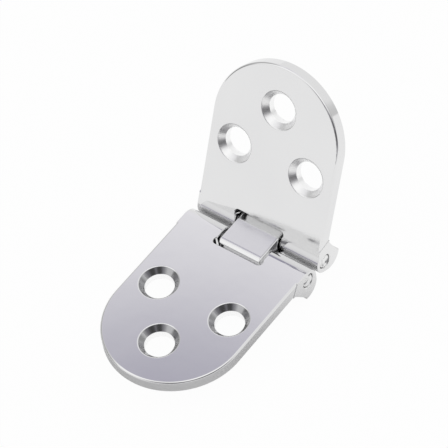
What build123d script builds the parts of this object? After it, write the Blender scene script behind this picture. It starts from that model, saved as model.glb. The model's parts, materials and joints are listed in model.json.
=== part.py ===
from build123d import *
import os
from math import cos, hypot, radians, sin, tan

# Folding table hinge: two round-ended leaves joined by a bridge link on two pins.
# Lengths in millimetres, angles in degrees.

# Leaf plate, measured from the butt line where the two leaves meet when they lie flat
LEAF_WIDTH = 30.0
LEAF_LENGTH = 41.25
LEAF_THICKNESS = 2.8
FACE_EDGE_ROUND = 0.45
BACK_EDGE_CHAMFER = 0.2

# Countersunk screw holes: a pair across the leaf and one towards the round tip
SCREW_SIDE_MARGIN = 6.27
END_SCREW_FROM_TIP = 9.45
SCREW_ROW_SPACING = 11.4
SCREW_HOLE_DIAMETER = 6.1
COUNTERSINK_DIAMETER = 8.2
COUNTERSINK_ANGLE = 80.0
COUNTERSINK_RIM_CHAMFER = 0.2

# Pins, each seated in the knuckles of one leaf
PIN_DIAMETER = 3.0
PIN_DEPTH = 2.75
PIN_FROM_BUTT = 2.85
PIN_SEAT_CLEARANCE = 0.02
PIN_RUNNING_CLEARANCE = 0.05
PIN_END_RECESS = 0.1
PIN_END_CHAMFER = 0.3
BORE_MOUTH_CHAMFER = 0.3

# Knuckle block under each leaf's butt edge: round nose and foot, stepped tail, sloped web
BUTT_CLEARANCE = 0.24
KNUCKLE_RADIUS = 3.2
KNUCKLE_DEPTH = 7.4
KNUCKLE_FACE_LENGTH = 6.15
KNUCKLE_BACK_LENGTH = 7.95
KNUCKLE_END_STEP = 0.1
KNUCKLE_END_CHAMFER = 0.15
TAIL_ANGLE = 11.0
TAIL_STEP = 0.6
WEB_FOOT = 0.5
WEB_ROOT_ROUND = 0.8

# Bridge link and the slot for it in each leaf's butt edge
LINK_WIDTH = 10.3
LINK_END_FROM_PIN = 2.6
LINK_CORNER_RADIUS = 1.0
LINK_EDGE_CHAMFER = 0.3
LINK_SIDE_CLEARANCE = 0.5
LINK_SWING_CLEARANCE = 0.23
SLOT_RELIEF_RADIUS = 0.8
SLOT_RELIEF_DEPTH = 0.3
SLOT_EDGE_CHAMFER = 0.25

# Turn of the moving leaf about its pin, up from lying flat
FOLD_ANGLE = 65.6

# Sizes that follow from the ones above
TIP_RADIUS = LEAF_WIDTH / 2
PIN_RADIUS = PIN_DIAMETER / 2
PIN_HEIGHT = LEAF_THICKNESS - PIN_DEPTH
KNUCKLE_END_X = LEAF_WIDTH / 2 + KNUCKLE_END_STEP
KNUCKLE_Y = BUTT_CLEARANCE + KNUCKLE_RADIUS
NOSE_Z = LEAF_THICKNESS - KNUCKLE_RADIUS
FOOT_Z = LEAF_THICKNESS - KNUCKLE_DEPTH + KNUCKLE_RADIUS
END_SCREW_Y = LEAF_LENGTH - END_SCREW_FROM_TIP
SCREW_PAIR_Y = END_SCREW_Y - SCREW_ROW_SPACING
SCREW_PAIR_X = LEAF_WIDTH / 2 - SCREW_SIDE_MARGIN
SCREW_PLACES = [(-SCREW_PAIR_X, SCREW_PAIR_Y), (SCREW_PAIR_X, SCREW_PAIR_Y), (0, END_SCREW_Y)]
LINK_LENGTH = 2 * (PIN_FROM_BUTT + LINK_END_FROM_PIN)
LINK_CORNER_REACH = hypot(LINK_END_FROM_PIN - LINK_CORNER_RADIUS, PIN_DEPTH - LINK_CORNER_RADIUS)
LINK_SWING_RADIUS = LINK_CORNER_REACH + LINK_CORNER_RADIUS
SLOT_HALF_WIDTH = LINK_WIDTH / 2 + LINK_SIDE_CLEARANCE
SLOT_RELIEF_X = SLOT_HALF_WIDTH + SLOT_RELIEF_DEPTH
SLOT_END_Y = PIN_FROM_BUTT + LINK_SWING_RADIUS + LINK_SWING_CLEARANCE
CUT_REACH = LEAF_LENGTH
SAME_PLACE = 1e-3

# Each leaf is drawn with its butt line on Y = 0, its tip towards +Y and its back on Z = 0.
# The whole hinge has its origin on the fixed leaf's back, midway between its pair of holes.
FLAT_LEAF_PLACE = Pos(0, SCREW_PAIR_Y, 0)
FIXED_LEAF_PLACE = FLAT_LEAF_PLACE * Rot(0, 0, 180)
FOLD = Pos(0, PIN_FROM_BUTT, PIN_HEIGHT) * Rot(FOLD_ANGLE, 0, 0) * Pos(0, -PIN_FROM_BUTT, -PIN_HEIGHT)
MOVING_LEAF_PLACE = FLAT_LEAF_PLACE * FOLD


def across(radius, length):
    """A round bar along the pin's line, centred on the leaf."""
    return Pos(0, PIN_FROM_BUTT, PIN_HEIGHT) * Rot(0, 90, 0) * Cylinder(radius, length)


def is_at(value, place):
    return abs(value - place) < SAME_PLACE


def leaf_plate():
    """Flat plate with a full round tip, its face edge rounded and its back edge broken."""
    straight = LEAF_LENGTH - TIP_RADIUS
    plan = Pos(0, straight) * Circle(TIP_RADIUS)
    plan += Pos(0, (KNUCKLE_Y + straight) / 2) * Rectangle(LEAF_WIDTH, straight - KNUCKLE_Y)
    plate = extrude(plan, LEAF_THICKNESS)
    outline = [edge for edge in plate.edges() if (edge @ 0.5).Y > KNUCKLE_Y + SAME_PLACE]
    face_outline = [edge for edge in outline if is_at((edge @ 0.5).Z, LEAF_THICKNESS)]
    plate = fillet(face_outline, FACE_EDGE_ROUND)
    back_outline = [edge for edge in plate.edges() if is_at((edge @ 0.5).Z, 0)]
    back_outline = [edge for edge in back_outline if (edge @ 0.5).Y > KNUCKLE_Y + SAME_PLACE]
    return chamfer(back_outline, BACK_EDGE_CHAMFER)


def is_smooth_end(edge):
    """True for a knuckle end's edge along the face, nose and foot, before the stepped tail."""
    middle = edge @ 0.5
    at_end = is_at(abs(middle.X), KNUCKLE_END_X)
    on_face = is_at(middle.Z, LEAF_THICKNESS)
    return at_end and (on_face or middle.Y < KNUCKLE_Y)


def knuckle_block():
    """The block that carries the pin, drawn in side view and run across the whole leaf, ends broken."""
    tail_y = KNUCKLE_Y + KNUCKLE_RADIUS * sin(radians(TAIL_ANGLE))
    tail_z = FOOT_Z - KNUCKLE_RADIUS * cos(radians(TAIL_ANGLE))
    crown = (KNUCKLE_Y, LEAF_THICKNESS)
    nose = (BUTT_CLEARANCE, NOSE_Z)
    foot = (BUTT_CLEARANCE, FOOT_Z)
    tail = (tail_y, tail_z)
    step = (tail_y, tail_z + TAIL_STEP)
    web_root = (KNUCKLE_BACK_LENGTH - WEB_FOOT, 0)
    seam_foot = (KNUCKLE_BACK_LENGTH, 0)
    seam_top = (KNUCKLE_FACE_LENGTH, LEAF_THICKNESS)
    outline = RadiusArc(crown, nose, -KNUCKLE_RADIUS)
    outline += Line(nose, foot)
    outline += JernArc(foot, (0, -1), KNUCKLE_RADIUS, 90 + TAIL_ANGLE)
    outline += Polyline(tail, step, web_root, seam_foot, seam_top, crown)
    view = make_face(outline)
    root_corner = view.vertices().sort_by_distance((*web_root, 0))[0]
    view = fillet(root_corner, WEB_ROOT_ROUND)
    block = extrude(Plane.YZ * view, KNUCKLE_END_X, both=True)
    smooth_ends = [edge for edge in block.edges() if is_smooth_end(edge)]
    return chamfer(smooth_ends, KNUCKLE_END_CHAMFER)


def slot_plan():
    """Opening for the bridge link, square at the butt line, its inner end widened by round corner reliefs."""
    relief_y = SLOT_END_Y - SLOT_RELIEF_RADIUS
    opening = Pos(0, (relief_y - CUT_REACH) / 2) * Rectangle(2 * SLOT_HALF_WIDTH, relief_y + CUT_REACH)
    return opening + Pos(0, relief_y) * SlotOverall(2 * SLOT_RELIEF_X, 2 * SLOT_RELIEF_RADIUS)


def is_slot_edge(edge):
    """True for an edge where the face and the nose of the knuckles run into the slot."""
    middle = edge @ 0.5
    beside_slot = abs(middle.X) < SLOT_RELIEF_X + SAME_PLACE and middle.Y < SLOT_END_Y + SAME_PLACE
    on_face = is_at(middle.Z, LEAF_THICKNESS)
    on_nose = middle.Y < KNUCKLE_Y - SAME_PLACE
    return beside_slot and (on_face or on_nose)


def screw_cutter():
    """Through hole and countersink of one screw, opening on the leaf's face."""
    hole_radius = SCREW_HOLE_DIAMETER / 2
    rim_radius = COUNTERSINK_DIAMETER / 2
    depth = (rim_radius - hole_radius) / tan(radians(COUNTERSINK_ANGLE / 2))
    hole = Cylinder(hole_radius, CUT_REACH)
    return hole + Pos(0, 0, LEAF_THICKNESS - depth / 2) * Cone(hole_radius, rim_radius, depth)


def is_countersink_rim(edge):
    """True for the large circle of a countersink on the leaf's face."""
    on_face = is_at((edge @ 0.5).Z, LEAF_THICKNESS)
    return edge.geom_type == GeomType.CIRCLE and on_face and is_at(edge.radius, COUNTERSINK_DIAMETER / 2)


def make_leaf():
    """One cast leaf: plate and knuckle block, link slot, countersunk holes and pin bore."""
    leaf = leaf_plate() + knuckle_block()
    leaf -= extrude(slot_plan(), CUT_REACH, both=True)
    leaf = chamfer(leaf.edges().filter_by(is_slot_edge), SLOT_EDGE_CHAMFER)
    for x, y in SCREW_PLACES:
        leaf -= Pos(x, y, 0) * screw_cutter()
    leaf = chamfer(leaf.edges().filter_by(is_countersink_rim), COUNTERSINK_RIM_CHAMFER)
    bore_radius = PIN_RADIUS + PIN_SEAT_CLEARANCE
    leaf -= across(bore_radius, CUT_REACH)
    mouth = Cone(bore_radius, bore_radius + BORE_MOUTH_CHAMFER, BORE_MOUTH_CHAMFER)
    for side in (-1, 1):
        mouth_x = side * (KNUCKLE_END_X - BORE_MOUTH_CHAMFER / 2)
        leaf -= Pos(mouth_x, PIN_FROM_BUTT, PIN_HEIGHT) * Rot(0, side * 90, 0) * mouth
    return leaf


def make_pin():
    """A plain pin with chamfered ends, drawn in its leaf's knuckles."""
    pin = across(PIN_RADIUS, 2 * (KNUCKLE_END_X - PIN_END_RECESS))
    return chamfer(pin.edges().filter_by(GeomType.CIRCLE), PIN_END_CHAMFER)


def make_link():
    """Bridge link with a flat top, round corners, broken side edges and a running bore for each pin."""
    side_view = RectangleRounded(LINK_LENGTH, 2 * PIN_DEPTH, LINK_CORNER_RADIUS)
    link = extrude(Plane.YZ * side_view, LINK_WIDTH / 2, both=True)
    link = Pos(0, 0, PIN_HEIGHT) * chamfer(link.faces().filter_by(Axis.X).edges(), LINK_EDGE_CHAMFER)
    bore = across(PIN_RADIUS + PIN_RUNNING_CLEARANCE, CUT_REACH)
    return link - bore - Rot(0, 0, 180) * bore


leaf = make_leaf()
pin = make_pin()
pieces = {
    "fixed_leaf": FIXED_LEAF_PLACE * leaf,
    "fixed_leaf_pin": FIXED_LEAF_PLACE * pin,
    "bridge_link": FLAT_LEAF_PLACE * make_link(),
    "moving_leaf": MOVING_LEAF_PLACE * leaf,
    "moving_leaf_pin": MOVING_LEAF_PLACE * pin,
}

os.makedirs("parts", exist_ok=True)
for name, piece in pieces.items():
    export_step(piece, f"parts/{name}.step")
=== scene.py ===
import json
from math import cos, radians, sin

import bpy
from mathutils import Matrix, Vector


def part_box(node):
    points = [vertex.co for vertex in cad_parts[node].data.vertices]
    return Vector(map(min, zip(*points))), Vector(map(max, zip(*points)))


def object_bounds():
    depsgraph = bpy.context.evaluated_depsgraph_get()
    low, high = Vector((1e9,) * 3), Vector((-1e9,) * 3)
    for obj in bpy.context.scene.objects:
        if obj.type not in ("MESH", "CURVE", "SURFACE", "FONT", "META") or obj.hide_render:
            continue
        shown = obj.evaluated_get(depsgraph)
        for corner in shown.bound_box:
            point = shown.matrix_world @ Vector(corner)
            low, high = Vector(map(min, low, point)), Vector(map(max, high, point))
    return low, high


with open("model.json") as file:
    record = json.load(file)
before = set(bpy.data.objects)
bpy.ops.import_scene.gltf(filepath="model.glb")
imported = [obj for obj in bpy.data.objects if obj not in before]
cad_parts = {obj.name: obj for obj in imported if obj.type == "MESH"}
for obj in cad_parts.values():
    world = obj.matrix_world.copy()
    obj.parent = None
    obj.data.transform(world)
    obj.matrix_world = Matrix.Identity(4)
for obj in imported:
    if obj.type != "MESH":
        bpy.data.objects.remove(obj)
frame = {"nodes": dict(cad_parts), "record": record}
cad_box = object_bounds()
scene = bpy.context.scene

MILLIMETRE = 0.001

# Camera at the photograph's angle, in metres and degrees
PHOTO_PIXELS = 448
FOCAL_PIXELS = 2655.6
SENSOR_WIDTH_MM = 36.0
CAMERA_AZIMUTH = 44.49
CAMERA_ELEVATION = 50.43
CAMERA_ROLL = 10.10
CAMERA_DISTANCE = 0.5322
CAMERA_AIM = (-0.00555, 0.01783, 0.00441)
CAMERA_NEAR_CLIP = 0.01

# White table under the hinge, in metres. Seen by the camera, it glows all over. Mirrored in the metal, it
# glows only far from the middle of the shade, and in spots under the fixed leaf's holes and the link's gaps.
# Each edge: distance at which a glow begins, and at which it is full
TABLE_HALF_SIZE = 6.0
TABLE_DROP = 0.0001
TABLE_COLOUR = (0.78, 0.78, 0.78, 1)
TABLE_GLOW_SEEN = 0.97
TABLE_GLOW_MIRRORED = 0.95
TABLE_SHADE_MIDDLE = (-0.005, -0.02, 0)
TABLE_FAR_EDGE = (0.03, 0.055)
TABLE_SPOT_EDGE = (0.0085, 0.0065)

# Light tent round the hinge: off-white cloth with soft round patches on it.
# Each patch: compass angle, height angle, radius of its even middle, radius where it ends, brightness.
# Each tint: what a patch's brightness is multiplied by in red, green and blue
TENT_CLOTH = 0.92
TENT_PATCHES = {
    "back_cloth": (134, 50, 16, 34, 0.92),
    "side_lamp": (-146, 46, 10, 38, 1.12),
    "room_left": (-64, 30, 10, 42, 0.3),
    "room_right": (-14, 22, 10, 36, 0.26),
    "doorway_left": (-64, 25, 4, 17, 0.09),
    "doorway_right": (-26, 25, 5, 20, 0.09),
    "far_left": (-148, 8, 5, 20, 0.2),
    "far_right": (48, 12, 4, 22, 0.5),
    "back_left": (178, 28, 10, 36, 0.5),
    "back_spot": (146, 60.4, 0, 8, 0.42),
    "overhead_lamp": (-25, 72, 4, 32, 1.15),
}
TENT_TINTS = {
    "back_cloth": (1.008, 0.997, 1.035),
    "back_spot": (1.0, 0.97, 1.19),
    "room_left": (1.0, 0.98, 1.06),
    "room_right": (1.0, 0.98, 1.06),
}

# Rounds: CAD faces narrower than this, in metres, that meet wide ones at less than the crease angle
CHAMFER_WIDTH = 0.0008
CREASE_ANGLE = 52.0
WELD_DISTANCE = 0.000002

# Metal: the two tones of its clouds, the scale that draws the buffing lines out along X, and the lines'
# height beside the ripple's
CHROME_TONE = (0.80, 0.80, 0.80, 1)
CHROME_SHADE = (0.765, 0.765, 0.77, 1)
PIN_TONE = (0.85, 0.85, 0.85, 1)
PIN_SHADE = (0.2, 0.2, 0.21, 1)
LINE_STRETCH = (0.04, 1, 1)
LINE_HEIGHT = 0.03

# Narrow gaps, with painted shade and painted highlight: how far round a point its openness is tested, in
# metres, with how many rays, and the openness at which it has a gap's tone alone, and none of it. Then the
# painted highlight and the painted shade, and in metres the gap's width beside the link and the soft edge
# between tones
GAP_REACH = 0.002
GAP_SAMPLES = 16
GAP_OPENNESS = (0.0, 0.25)
PAINTED_HIGHLIGHT_TONE = (0.97, 0.97, 0.97, 1)
GAP_PAINTED_SHADE = (0.07, 0.07, 0.08, 1)
GAP_WIDTH = 0.0012
GAP_EDGE = 0.0006

# Gap at the link's right side, in metres: painted highlight up to the first place along Y and past the
# second, and on the link's own side down to the height, with painted shade between
LIT_GAP_END = 0.0186
DARK_GAP_END = 0.0215
LIT_GAP_FLOOR = 0.0010

# Nip between the knuckles: its painted shade, and its roughness with the openness at which that begins
# and is full
NIP_PAINTED_SHADE = (0.18, 0.18, 0.2, 1)
NIP_ROUGHNESS = 0.5
NIP_OPENNESS = (0.75, 0.3)

# Screw holes, in metres: radius of the turned finish with its rim, radius of the wall inside the rim, how
# far past the drill's radius a land counts as drilled, and how far below the land's middle the finish goes.
# Then the walls' tones, painted shade on the fixed leaf and a painted highlight on the moving one, how much
# rougher they are than the faces, and the height of their turning marks
SEAT_RADIUS = 0.0042
WALL_RADIUS = 0.00408
LAND_MARGIN = 0.00002
LAND_REACH = 0.0007
SEAT_PAINTED_TONES = {"fixed_leaf": (0.5, 0.5, 0.51, 1), "moving_leaf": (0.9, 0.9, 0.9, 1)}
SEAT_ROUGHNESS = {"fixed_leaf": 0.1, "moving_leaf": 0.26}
SEAT_MARKS = 0.3

# Slopes that are shading alone, as fall over run, set to what the metal mirrors in the photograph. The
# solids' faces are flat. The leaves are shaded as falling to their tips, and the link's sides and ends as
# leaning in towards its top
FACE_FALL = 0.042
LINK_LEAN = 0.55


def add_node(tree, kind, **settings):
    node = tree.nodes.new(kind)
    for name, value in settings.items():
        setattr(node, name, value)
    return node


def put(tree, value, socket):
    """Sets a socket to a plain value, or links it to another node's output."""
    if isinstance(value, bpy.types.NodeSocket):
        tree.links.new(value, socket)
    else:
        socket.default_value = value


def arithmetic(tree, operation, first, second=0.0):
    node = add_node(tree, "ShaderNodeMath", operation=operation)
    put(tree, first, node.inputs[0])
    put(tree, second, node.inputs[1])
    return node.outputs["Value"]


def vector(tree, operation, first, second=(0.0, 0.0, 0.0)):
    node = add_node(tree, "ShaderNodeVectorMath", operation=operation)
    put(tree, first, node.inputs[0])
    put(tree, second, node.inputs[1])
    return node.outputs["Value" if operation in {"LENGTH", "DISTANCE", "DOT_PRODUCT"} else "Vector"]


def soft_step(tree, value, start, end):
    """Rises smoothly from 0 at the start to 1 at the end."""
    node = add_node(tree, "ShaderNodeMapRange", interpolation_type="SMOOTHSTEP")
    put(tree, value, node.inputs["Value"])
    put(tree, start, node.inputs["From Min"])
    put(tree, end, node.inputs["From Max"])
    return node.outputs["Result"]


def blend(tree, factor, first, second):
    """Mixes two colours."""
    node = add_node(tree, "ShaderNodeMix", data_type="RGBA")
    put(tree, factor, node.inputs["Factor"])
    put(tree, first, node.inputs["A"])
    put(tree, second, node.inputs["B"])
    return node.outputs["Result"]


def noise(tree, place, scale, detail, roughness):
    node = add_node(tree, "ShaderNodeTexNoise")
    put(tree, place, node.inputs["Vector"])
    put(tree, scale, node.inputs["Scale"])
    node.inputs["Detail"].default_value = detail
    node.inputs["Roughness"].default_value = roughness
    return node.outputs["Fac"]


def new_group(name, inputs, outputs):
    """A shader node group with its sockets made, and its input and output nodes."""
    group = bpy.data.node_groups.new(name, "ShaderNodeTree")
    for socket_name, (kind, default) in inputs.items():
        socket = group.interface.new_socket(socket_name, in_out="INPUT", socket_type=kind)
        socket.default_value = default
    for socket_name, kind in outputs.items():
        group.interface.new_socket(socket_name, in_out="OUTPUT", socket_type=kind)
    entry = add_node(group, "NodeGroupInput")
    exit_node = add_node(group, "NodeGroupOutput")
    return group, entry.outputs, exit_node.inputs


def place_group(tree, group, values):
    """Puts a shared group into a material, with the material's own values."""
    node = add_node(tree, "ShaderNodeGroup", node_tree=group)
    for socket, value in values.items():
        put(tree, value, node.inputs[socket])
    return node


def plating_clouds():
    """Faint cloudy change of tone that plating has over a cast face."""
    group, given, result = new_group(
        "plating_clouds",
        {
            "Scale": ("NodeSocketFloat", 60.0),
            "Low": ("NodeSocketFloat", 0.0),
            "High": ("NodeSocketFloat", 1.0),
            "Tone": ("NodeSocketColor", CHROME_TONE),
            "Shade": ("NodeSocketColor", CHROME_SHADE),
        },
        {"Color": "NodeSocketColor"},
    )
    place = add_node(group, "ShaderNodeTexCoord").outputs["Object"]
    cloud = soft_step(group, noise(group, place, given["Scale"], 3.0, 0.5), given["Low"], given["High"])
    put(group, blend(group, cloud, given["Tone"], given["Shade"]), result["Color"])
    return group


def painted_gap_light_and_shade():
    """Painted tones in the narrow gaps: highlight in line with the link, shade beside it, grey shade in the
    nip.
    """
    group, given, result = new_group(
        "painted_gap_light_and_shade",
        {"Plated": ("NodeSocketColor", CHROME_TONE)},
        {"Color": "NodeSocketColor", "Roughness": "NodeSocketFloat"},
    )
    place = add_node(group, "ShaderNodeSeparateXYZ")
    put(group, add_node(group, "ShaderNodeTexCoord").outputs["Object"], place.inputs["Vector"])
    x, y, z = place.outputs
    link_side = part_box("bridge_link")[1].x
    gap_end = link_side + GAP_WIDTH
    from_middle = arithmetic(group, "ABSOLUTE", x)
    beside = soft_step(group, from_middle, link_side - GAP_EDGE, link_side)
    in_nip = soft_step(group, from_middle, gap_end, gap_end + GAP_EDGE)

    # Painted highlight in the gap at the link's right side: its near end, its far end and the link's upper
    # part
    near = soft_step(group, y, LIT_GAP_END, LIT_GAP_END - GAP_EDGE)
    far = soft_step(group, y, DARK_GAP_END, DARK_GAP_END + GAP_EDGE)
    on_link = arithmetic(group, "LESS_THAN", x, link_side + GAP_EDGE / 2)
    high = soft_step(group, z, LIT_GAP_FLOOR, LIT_GAP_FLOOR + GAP_EDGE)
    lit = arithmetic(group, "MAXIMUM", arithmetic(group, "MULTIPLY", on_link, high), near)
    lit = arithmetic(group, "MAXIMUM", lit, far)
    lit = arithmetic(group, "MULTIPLY", lit, arithmetic(group, "GREATER_THAN", x, 0))

    tone = blend(group, in_nip, blend(group, lit, GAP_PAINTED_SHADE, PAINTED_HIGHLIGHT_TONE), NIP_PAINTED_SHADE)
    tone = blend(group, beside, PAINTED_HIGHLIGHT_TONE, tone)
    # Where little open sky reaches a point, these painted tones take the place of the plating's colour
    sky = add_node(group, "ShaderNodeAmbientOcclusion", samples=GAP_SAMPLES)
    sky.inputs["Distance"].default_value = GAP_REACH
    is_open = soft_step(group, sky.outputs["AO"], *GAP_OPENNESS)
    put(group, blend(group, is_open, tone, given["Plated"]), result["Color"])
    rough = arithmetic(group, "MULTIPLY", in_nip, soft_step(group, sky.outputs["AO"], *NIP_OPENNESS))
    put(group, arithmetic(group, "MULTIPLY", rough, NIP_ROUGHNESS), result["Roughness"])
    return group


def buffing():
    """Fine buffing lines along X, and the soft ripple of the casting under the plating."""
    group, given, result = new_group(
        "buffing",
        {
            "Line Scale": ("NodeSocketFloat", 1800.0),
            "Ripple Scale": ("NodeSocketFloat", 220.0),
            "Polish": ("NodeSocketFloat", 0.04),
            "Haze": ("NodeSocketFloat", 0.04),
        },
        {"Roughness": "NodeSocketFloat", "Height": "NodeSocketFloat"},
    )
    place = add_node(group, "ShaderNodeTexCoord").outputs["Object"]
    stretch = add_node(group, "ShaderNodeMapping")
    put(group, place, stretch.inputs["Vector"])
    stretch.inputs["Scale"].default_value = LINE_STRETCH
    lines = noise(group, stretch.outputs["Vector"], given["Line Scale"], 2.0, 0.6)
    ripple = noise(group, place, given["Ripple Scale"], 1.0, 0.4)
    haze = arithmetic(group, "MULTIPLY", lines, given["Haze"])
    put(group, arithmetic(group, "ADD", haze, given["Polish"]), result["Roughness"])
    fine = arithmetic(group, "MULTIPLY", lines, LINE_HEIGHT)
    put(group, arithmetic(group, "ADD", ripple, fine), result["Height"])
    return group


def turned_seats():
    """Fine turning marks in the countersinks, round the axis of each of a leaf's screw holes.

    It also tells where the countersinks' walls and the drilled lands under them are.
    """
    holes = ("First Hole", "Second Hole", "Third Hole")
    group, given, result = new_group(
        "turned_seats",
        {
            **{hole: ("NodeSocketVector", (0, 0, 0)) for hole in holes},
            "Axis": ("NodeSocketVector", (0, 0, 1)),
            "Land Radius": ("NodeSocketFloat", 0.003),
            "Mark Scale": ("NodeSocketFloat", 6000.0),
            "Roughness": ("NodeSocketFloat", 0.1),
        },
        {name: "NodeSocketFloat" for name in ("Roughness", "Height", "Wall", "Land")},
    )
    place = add_node(group, "ShaderNodeTexCoord").outputs["Object"]
    from_holes = [vector(group, "SUBTRACT", place, given[hole]) for hole in holes]
    across = [vector(group, "CROSS_PRODUCT", way, given["Axis"]) for way in from_holes]
    radii = [vector(group, "LENGTH", way) for way in across]
    radius = arithmetic(group, "MINIMUM", arithmetic(group, "MINIMUM", radii[0], radii[1]), radii[2])
    height = vector(group, "DOT_PRODUCT", from_holes[0], given["Axis"])
    above = arithmetic(group, "GREATER_THAN", height, -LAND_REACH)
    inside = arithmetic(group, "MULTIPLY", above, arithmetic(group, "LESS_THAN", radius, SEAT_RADIUS))
    wall = arithmetic(group, "MULTIPLY", above, arithmetic(group, "LESS_THAN", radius, WALL_RADIUS))
    put(group, wall, result["Wall"])
    put(group, arithmetic(group, "LESS_THAN", radius, given["Land Radius"]), result["Land"])
    marks = add_node(group, "ShaderNodeTexNoise", noise_dimensions="1D")
    put(group, radius, marks.inputs["W"])
    put(group, given["Mark Scale"], marks.inputs["Scale"])
    put(group, arithmetic(group, "MULTIPLY", inside, given["Roughness"]), result["Roughness"])
    marked = arithmetic(group, "MULTIPLY", marks.outputs["Fac"], SEAT_MARKS)
    put(group, arithmetic(group, "MULTIPLY", inside, marked), result["Height"])
    return group


def metal_finish(name, groups, clouds, lines, bump, fall=None):
    """A bright metal from the shared groups, with its own clouds, lines and strength and depth of ripple.

    Where a fall is given, the surface is shaded as falling away along it, by its length over a run of 1.
    """
    material = bpy.data.materials.new(name)
    material.use_nodes = True
    tree = material.node_tree
    shader = tree.nodes["Principled BSDF"]
    shader.inputs["Metallic"].default_value = 1
    cloudy = place_group(tree, groups["clouds"], clouds)
    # Painted shade and painted highlight in the narrow gaps, laid over the plating's clouds
    gaps = place_group(tree, groups["gaps"], {"Plated": cloudy.outputs["Color"]})
    buff = place_group(tree, groups["buffing"], lines)
    strength, depth = bump
    relief = add_node(tree, "ShaderNodeBump")
    relief.inputs["Strength"].default_value = strength
    relief.inputs["Distance"].default_value = depth
    put(tree, buff.outputs["Height"], relief.inputs["Height"])
    put(tree, gaps.outputs["Color"], shader.inputs["Base Color"])
    rough = arithmetic(tree, "ADD", buff.outputs["Roughness"], gaps.outputs["Roughness"])
    put(tree, rough, shader.inputs["Roughness"])
    put(tree, relief.outputs["Normal"], shader.inputs["Normal"])
    if fall:
        place = add_node(tree, "ShaderNodeTexCoord").outputs["Object"]
        slope = add_node(tree, "ShaderNodeBump")
        slope.inputs["Distance"].default_value = 1
        put(tree, vector(tree, "DOT_PRODUCT", place, -fall), slope.inputs["Height"])
        put(tree, slope.outputs["Normal"], relief.inputs["Normal"])
    return material


def screw_holes(leaf):
    """A leaf's screw holes from the record, and the way from its pair of holes to the one at its tip."""
    mounts = frame["record"]["mounts"]
    holes = [mount for mount in mounts if mount["kind"] == "bore" and mount["name"].startswith(leaf)]
    first, second, tip = (Vector(hole["pos_m"]) for hole in holes)
    return holes, (tip - (first + second) / 2).normalized()


def leaf_finish(leaf, groups):
    """Polished chrome of a leaf, with turning marks in its countersinks and drilled lands painted bright as a
    highlight. Its countersinks' walls carry painted shade on the fixed leaf and a painted highlight on the
    moving one.
    """
    screws, outward = screw_holes(leaf)
    material = metal_finish(
        leaf + "_chrome",
        groups,
        clouds={"Scale": 60.0},
        lines={"Polish": 0.045, "Haze": 0.03},
        bump=(0.02, 0.0002),
        fall=FACE_FALL * outward,
    )
    tree = material.node_tree
    shader = tree.nodes["Principled BSDF"]
    seats = place_group(
        tree,
        groups["seats"],
        {
            "Axis": screws[0]["axis"],
            "Land Radius": screws[0]["dims"]["r_mm"] * MILLIMETRE + LAND_MARGIN,
            "Roughness": SEAT_ROUGHNESS[leaf],
        },
    )
    for socket, screw in zip(seats.inputs, screws):
        socket.default_value = screw["pos_m"]
    plated = shader.inputs["Base Color"].links[0].from_socket
    # Painted shade on the fixed leaf's countersink walls, and a painted highlight on the moving leaf's
    painted_seat_walls = blend(tree, seats.outputs["Wall"], plated, SEAT_PAINTED_TONES[leaf])
    # The drilled lands carry a painted highlight, near white
    put(tree, blend(tree, seats.outputs["Land"], painted_seat_walls, PAINTED_HIGHLIGHT_TONE), shader.inputs["Base Color"])
    relief = shader.inputs["Normal"].links[0].from_node
    for output, socket in (("Roughness", shader.inputs["Roughness"]), ("Height", relief.inputs["Height"])):
        put(tree, arithmetic(tree, "ADD", socket.links[0].from_socket, seats.outputs[output]), socket)
    return material


def link_finish(groups):
    """Chrome of the link, more softly buffed than the leaves."""
    return metal_finish(
        "link_chrome",
        groups,
        clouds={"Scale": 90.0},
        lines={"Polish": 0.12, "Haze": 0.06},
        bump=(0.02, 0.0002),
        fall=FACE_FALL * screw_holes("fixed_leaf")[1] + Vector((0, 0, LINK_LEAN)),
    )


def pin_finish(groups):
    """Bright steel of the pins, with dark flecks on their ends."""
    return metal_finish(
        "pin_steel",
        groups,
        clouds={"Scale": 700.0, "Low": 0.5, "High": 0.62, "Tone": PIN_TONE, "Shade": PIN_SHADE},
        lines={"Polish": 0.12, "Haze": 0.1},
        bump=(0.05, 0.0001),
    )


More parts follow.
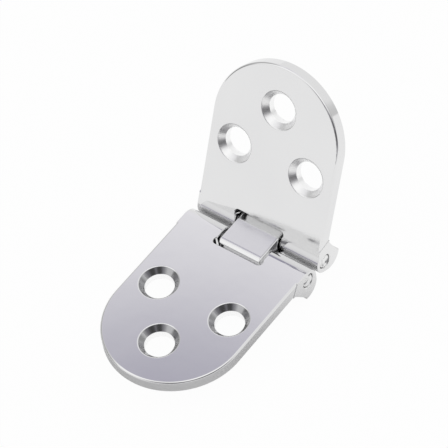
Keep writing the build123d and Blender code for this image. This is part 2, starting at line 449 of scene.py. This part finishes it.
def cast_rounds():
    """Geometry nodes that give a narrow chamfer its wide neighbours' normals, so it reflects as a round."""
    group = bpy.data.node_groups.new("cast_rounds", "GeometryNodeTree")
    group.is_modifier = True
    group.interface.new_socket("Metal", in_out="INPUT", socket_type="NodeSocketGeometry")
    group.interface.new_socket("Metal", in_out="OUTPUT", socket_type="NodeSocketGeometry")
    metal = add_node(group, "NodeGroupInput").outputs["Metal"]

    # Half the mean width of the CAD face that a point is on: its area over its outline
    face = add_node(group, "GeometryNodeInputMeshIsland").outputs["Island Index"]
    area = add_node(group, "GeometryNodeAccumulateField", domain="FACE")
    put(group, add_node(group, "GeometryNodeInputMeshFaceArea").outputs["Area"], area.inputs["Value"])
    put(group, face, area.inputs["Group ID"])
    ends = add_node(group, "GeometryNodeInputMeshEdgeVertices")
    length = vector(group, "DISTANCE", ends.outputs["Position 1"], ends.outputs["Position 2"])
    sides = add_node(group, "GeometryNodeInputMeshEdgeNeighbors").outputs["Face Count"]
    on_outline = arithmetic(group, "COMPARE", sides, 1)
    outline = add_node(group, "GeometryNodeAccumulateField", domain="EDGE")
    put(group, arithmetic(group, "MULTIPLY", length, on_outline), outline.inputs["Value"])
    put(group, face, outline.inputs["Group ID"])
    half_width = arithmetic(group, "DIVIDE", area.outputs["Total"], outline.outputs["Total"])
    narrow = arithmetic(group, "LESS_THAN", half_width, CHAMFER_WIDTH / 2)

    # Normal of the wide face that meets the point, where they meet at less than the crease angle
    wide = add_node(group, "GeometryNodeDeleteGeometry", domain="FACE")
    put(group, metal, wide.inputs["Geometry"])
    put(group, narrow, wide.inputs["Selection"])
    place = add_node(group, "GeometryNodeInputPosition").outputs["Position"]
    normal = add_node(group, "GeometryNodeInputNormal").outputs["Normal"]
    nearest = add_node(group, "GeometryNodeSampleNearest", domain="POINT")
    put(group, wide.outputs["Geometry"], nearest.inputs["Geometry"])
    found = {}
    for name, field in (("place", place), ("normal", normal)):
        sample = add_node(group, "GeometryNodeSampleIndex", data_type="FLOAT_VECTOR", domain="POINT")
        put(group, wide.outputs["Geometry"], sample.inputs["Geometry"])
        put(group, field, sample.inputs["Value"])
        put(group, nearest.outputs["Index"], sample.inputs["Index"])
        found[name] = sample.outputs["Value"]
    meets = arithmetic(group, "LESS_THAN", vector(group, "DISTANCE", place, found["place"]), WELD_DISTANCE)
    bend = vector(group, "DOT_PRODUCT", normal, found["normal"])
    gentle = arithmetic(group, "GREATER_THAN", bend, cos(radians(CREASE_ANGLE)))
    shares = arithmetic(group, "MULTIPLY", narrow, arithmetic(group, "MULTIPLY", meets, gentle))

    choice = add_node(group, "GeometryNodeSwitch", input_type="VECTOR")
    put(group, shares, choice.inputs["Switch"])
    put(group, normal, choice.inputs["False"])
    put(group, found["normal"], choice.inputs["True"])
    smooth = add_node(group, "GeometryNodeSetShadeSmooth")
    put(group, metal, smooth.inputs["Geometry"])
    result = add_node(group, "GeometryNodeSetMeshNormal", mode="FREE", domain="POINT")
    put(group, smooth.outputs["Geometry"], result.inputs["Mesh"])
    put(group, choice.outputs["Output"], result.inputs["Custom Normal"])
    put(group, result.outputs["Mesh"], add_node(group, "NodeGroupOutput").inputs["Metal"])
    return group


def make_table():
    """Plain white table, as large as a room, with the hinge's soft shadow on it."""
    z = cad_box[0].z - TABLE_DROP
    reach = TABLE_HALF_SIZE
    mesh = bpy.data.meshes.new("table")
    corners = [(-reach, -reach, z), (reach, -reach, z), (reach, reach, z), (-reach, reach, z)]
    mesh.from_pydata(corners, [], [(0, 1, 2, 3)])
    table = bpy.data.objects.new("table", mesh)
    scene.collection.objects.link(table)
    mesh.materials.append(table_finish())


def mirrored_glow(tree):
    """Share of the table's white that glows in reflections: far off, under holes and the link's gaps."""
    place = add_node(tree, "ShaderNodeNewGeometry").outputs["Position"]
    share = soft_step(tree, vector(tree, "DISTANCE", place, TABLE_SHADE_MIDDLE), *TABLE_FAR_EDGE)
    holes = [Vector(hole["pos_m"]) for hole in screw_holes("fixed_leaf")[0]]
    link_side, link_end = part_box("bridge_link")[1].x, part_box("bridge_link")[0].y
    gaps = [Vector((0, link_end, 0)), Vector((link_side, (link_end + LIT_GAP_END) / 2, 0))]
    for above in holes + gaps:
        under = soft_step(tree, vector(tree, "DISTANCE", place, above), *TABLE_SPOT_EDGE)
        share = arithmetic(tree, "MAXIMUM", share, under)
    return arithmetic(tree, "MULTIPLY", share, TABLE_GLOW_MIRRORED)


def table_finish():
    """Matt white that also glows where the camera sees it, and in places where the metal mirrors it."""
    material = bpy.data.materials.new("table_white")
    material.use_nodes = True
    tree = material.node_tree
    tree.nodes.clear()
    matt = add_node(tree, "ShaderNodeBsdfDiffuse")
    matt.inputs["Color"].default_value = TABLE_COLOUR
    glow = add_node(tree, "ShaderNodeEmission")
    glow.inputs["Strength"].default_value = 1
    path = add_node(tree, "ShaderNodeLightPath")
    seen = arithmetic(tree, "MULTIPLY", path.outputs["Is Camera Ray"], TABLE_GLOW_SEEN)
    mirrored = arithmetic(tree, "MULTIPLY", path.outputs["Is Glossy Ray"], mirrored_glow(tree))
    mix = add_node(tree, "ShaderNodeMixShader")
    put(tree, arithmetic(tree, "MAXIMUM", seen, mirrored), mix.inputs["Fac"])
    put(tree, matt.outputs["BSDF"], mix.inputs[1])
    put(tree, glow.outputs["Emission"], mix.inputs[2])
    surface = add_node(tree, "ShaderNodeOutputMaterial")
    put(tree, mix.outputs["Shader"], surface.inputs["Surface"])
    return material


def make_tent():
    """World light like an off-white tent, with lamps, the dark room behind the camera and grey corners."""
    world = bpy.data.worlds.new("light_tent")
    world.use_nodes = True
    tree = world.node_tree
    way = add_node(tree, "ShaderNodeTexCoord").outputs["Generated"]
    cloth = (TENT_CLOTH, TENT_CLOTH, TENT_CLOTH, 1)
    for name, (compass, height, middle, end, brightness) in TENT_PATCHES.items():
        a, e = radians(compass), radians(height)
        facing = vector(tree, "DOT_PRODUCT", way, (cos(a) * cos(e), sin(a) * cos(e), sin(e)))
        fade = soft_step(tree, facing, cos(radians(end)), cos(radians(middle)))
        tint = TENT_TINTS.get(name, (1, 1, 1))
        cloth = blend(tree, fade, cloth, (*(brightness * part for part in tint), 1))
    put(tree, cloth, tree.nodes["Background"].inputs["Color"])
    tree.nodes["Background"].inputs["Strength"].default_value = 1
    scene.world = world


def make_camera():
    """Camera that looks at the aim point, turned about its own line of sight by the roll."""
    azimuth, elevation, roll = map(radians, (CAMERA_AZIMUTH, CAMERA_ELEVATION, CAMERA_ROLL))
    back = Vector((sin(azimuth) * cos(elevation), -cos(azimuth) * cos(elevation), sin(elevation)))
    level_right = Vector((cos(azimuth), sin(azimuth), 0))
    level_up = back.cross(level_right)
    right = cos(roll) * level_right - sin(roll) * level_up
    up = sin(roll) * level_right + cos(roll) * level_up
    data = bpy.data.cameras.new("camera")
    data.sensor_width = SENSOR_WIDTH_MM
    data.lens = FOCAL_PIXELS / PHOTO_PIXELS * SENSOR_WIDTH_MM
    data.clip_start = CAMERA_NEAR_CLIP
    camera = bpy.data.objects.new("camera", data)
    scene.collection.objects.link(camera)
    turn = Matrix((right, up, back)).transposed().to_4x4()
    camera.matrix_world = Matrix.Translation(Vector(CAMERA_AIM) + CAMERA_DISTANCE * back) @ turn
    scene.camera = camera


scene.view_settings.view_transform = "Standard"
groups = {
    "clouds": plating_clouds(),
    "gaps": painted_gap_light_and_shade(),
    "buffing": buffing(),
    "seats": turned_seats(),
}
pin_steel = pin_finish(groups)
finishes = {
    "fixed_leaf": leaf_finish("fixed_leaf", groups),
    "moving_leaf": leaf_finish("moving_leaf", groups),
    "bridge_link": link_finish(groups),
    "fixed_leaf_pin": pin_steel,
    "moving_leaf_pin": pin_steel,
}
rounds = cast_rounds()
for name, finish in finishes.items():
    piece = frame["nodes"][name]
    piece.modifiers.new("cast_rounds", "NODES").node_group = rounds
    piece.data.materials.clear()
    piece.data.materials.append(finish)
make_table()
make_tent()
make_camera()
